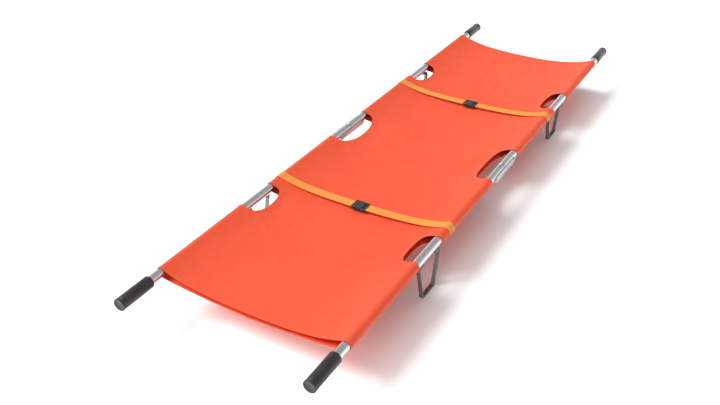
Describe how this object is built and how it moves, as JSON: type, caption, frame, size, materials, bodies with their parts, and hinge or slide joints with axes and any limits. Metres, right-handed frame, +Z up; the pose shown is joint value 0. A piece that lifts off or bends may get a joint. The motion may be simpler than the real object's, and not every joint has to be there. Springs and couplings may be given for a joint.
{
  "type": "folding stretcher",
  "caption": "Folding stretcher: jointed aluminium poles with grips, a sagging orange canvas bed with hand slots, two buckled straps, strip legs and cross spreaders that fold.",
  "frame": {"origin": "on the floor, directly under the centre of the canvas bed", "axes": "+X along the poles towards the rear handles, +Y towards the left pole, +Z up"},
  "size_m": [2.064, 0.554, 0.1365],
  "materials": {
    "tube_aluminium": "drawn and polished tube with fine lengthwise lines",
    "channel_metal": "folded bright sheet metal channel",
    "plated_fasteners": "bright zinc plate",
    "leg_steel": "grey plated strip",
    "spreader_steel": "plated flat bar",
    "grip_rubber": "matt black moulded rubber",
    "canvas": "orange-red coated woven canvas",
    "strap_webbing": "yellow-orange ribbed webbing",
    "buckle_plastic": "dark grey moulded plastic"
  },
  "bodies": {
    "left_front_pole": {"tube_front_left": "tube_aluminium", "grip_front_left": "grip_rubber", "leg_front_left": "leg_steel", "leg_rivet_inner_front_left": "plated_fasteners", "leg_rivet_outer_front_left": "plated_fasteners", "bracket_front_left": "leg_steel", "spreader_pin_front_left": "plated_fasteners", "strap_front_left": "strap_webbing", "strap_front_right": "strap_webbing", "canvas_front": "canvas"},
    "left_hinge_channel": {"hinge_pin_front_left": "plated_fasteners", "hinge_pin_rear_left": "plated_fasteners", "hinge_channel_left": "channel_metal", "canvas_middle_upper": "canvas", "canvas_middle_lower": "canvas"},
    "left_rear_pole": {"tube_rear_left": "tube_aluminium", "grip_rear_left": "grip_rubber", "leg_rear_left": "leg_steel", "leg_rivet_inner_rear_left": "plated_fasteners", "leg_rivet_outer_rear_left": "plated_fasteners", "bracket_rear_left": "leg_steel", "spreader_pin_rear_left": "plated_fasteners", "strap_rear_left": "strap_webbing", "strap_rear_right": "strap_webbing", "canvas_rear": "canvas"},
    "right_front_pole": {"tube_front_right": "tube_aluminium", "grip_front_right": "grip_rubber", "leg_front_right": "leg_steel", "leg_rivet_inner_front_right": "plated_fasteners", "leg_rivet_outer_front_right": "plated_fasteners", "bracket_front_right": "leg_steel", "spreader_pin_front_right": "plated_fasteners"},
    "right_hinge_channel": {"hinge_pin_front_right": "plated_fasteners", "hinge_pin_rear_right": "plated_fasteners", "hinge_channel_right": "channel_metal"},
    "right_rear_pole": {"tube_rear_right": "tube_aluminium", "grip_rear_right": "grip_rubber", "leg_rear_right": "leg_steel", "leg_rivet_inner_rear_right": "plated_fasteners", "leg_rivet_outer_rear_right": "plated_fasteners", "bracket_rear_right": "leg_steel", "spreader_pin_rear_right": "plated_fasteners"},
    "front_spreader_left_bar": {"spreader_front_left": "spreader_steel", "knuckle_pin_front": "plated_fasteners"},
    "front_spreader_right_bar": {"spreader_front_right": "spreader_steel"},
    "rear_spreader_left_bar": {"spreader_rear_left": "spreader_steel", "knuckle_pin_rear": "plated_fasteners"},
    "rear_spreader_right_bar": {"spreader_rear_right": "spreader_steel"},
    "front_buckle": {"buckle_socket_front": "buckle_plastic", "buckle_tongue_front": "buckle_plastic"},
    "rear_buckle": {"buckle_socket_rear": "buckle_plastic", "buckle_tongue_rear": "buckle_plastic"}
  },
  "joints": [
    {"name": "width_fold", "type": "hinge", "parent": "left_front_pole", "child": "front_spreader_left_bar", "pos_m": [-0.5357, 0.234, 0.08], "axis": [0, 0, 1], "range_deg": [0, 84], "deforming": ["strap_front_left", "strap_front_right", "canvas_front", "strap_rear_left", "strap_rear_right", "canvas_rear", "canvas_middle_upper", "canvas_middle_lower"]},
    {"name": "front_knuckle", "type": "hinge", "parent": "front_spreader_left_bar", "child": "front_spreader_right_bar", "pos_m": [-0.5357, 0, 0.08], "axis": [0, 0, 1], "range_deg": [-168, 0]},
    {"name": "front_right_end", "type": "hinge", "parent": "front_spreader_right_bar", "child": "right_front_pole", "pos_m": [-0.5357, -0.234, 0.08], "axis": [0, 0, 1], "range_deg": [0, 84]},
    {"name": "rear_left_end", "type": "hinge", "parent": "left_rear_pole", "child": "rear_spreader_left_bar", "pos_m": [0.5357, 0.234, 0.08], "axis": [0, 0, 1], "range_deg": [-84, 0]},
    {"name": "rear_knuckle", "type": "hinge", "parent": "rear_spreader_left_bar", "child": "rear_spreader_right_bar", "pos_m": [0.5357, 0, 0.08], "axis": [0, 0, 1], "range_deg": [0, 168]},
    {"name": "length_fold", "type": "hinge", "parent": "left_front_pole", "child": "left_hinge_channel", "pos_m": [-0.069, 0.26, 0.12], "axis": [0, 1, 0], "range_deg": [0, 90]},
    {"name": "left_rear_fold", "type": "hinge", "parent": "left_hinge_channel", "child": "left_rear_pole", "pos_m": [0.069, 0.26, 0.12], "axis": [0, 1, 0], "range_deg": [0, 90]},
    {"name": "right_front_fold", "type": "hinge", "parent": "right_front_pole", "child": "right_hinge_channel", "pos_m": [-0.069, -0.26, 0.12], "axis": [0, 1, 0], "range_deg": [0, 90]},
    {"name": "right_rear_fold", "type": "hinge", "parent": "right_hinge_channel", "child": "right_rear_pole", "pos_m": [0.069, -0.26, 0.12], "axis": [0, 1, 0], "range_deg": [0, 90]},
    {"name": "front_buckle_travel", "type": "slide", "parent": "left_front_pole", "child": "front_buckle", "axis": [0, 0.9996, 0.0286], "range_m": [0, 0.20961]},
    {"name": "rear_buckle_travel", "type": "slide", "parent": "left_rear_pole", "child": "rear_buckle", "axis": [0, 0.9996, 0.0286], "range_m": [0, 0.20961]}
  ],
  "couplings": [
    {"joint": "front_knuckle", "follows": "width_fold", "ratio": -2},
    {"joint": "front_right_end", "follows": "width_fold", "ratio": 1},
    {"joint": "rear_left_end", "follows": "width_fold", "ratio": -1},
    {"joint": "rear_knuckle", "follows": "width_fold", "ratio": 2},
    {"joint": "left_rear_fold", "follows": "length_fold", "ratio": 1},
    {"joint": "right_front_fold", "follows": "length_fold", "ratio": 1},
    {"joint": "right_rear_fold", "follows": "length_fold", "ratio": 1},
    {"joint": "front_buckle_travel", "follows": "width_fold", "m_per_rad": 0.14297},
    {"joint": "rear_buckle_travel", "follows": "width_fold", "m_per_rad": 0.14297}
  ]
}
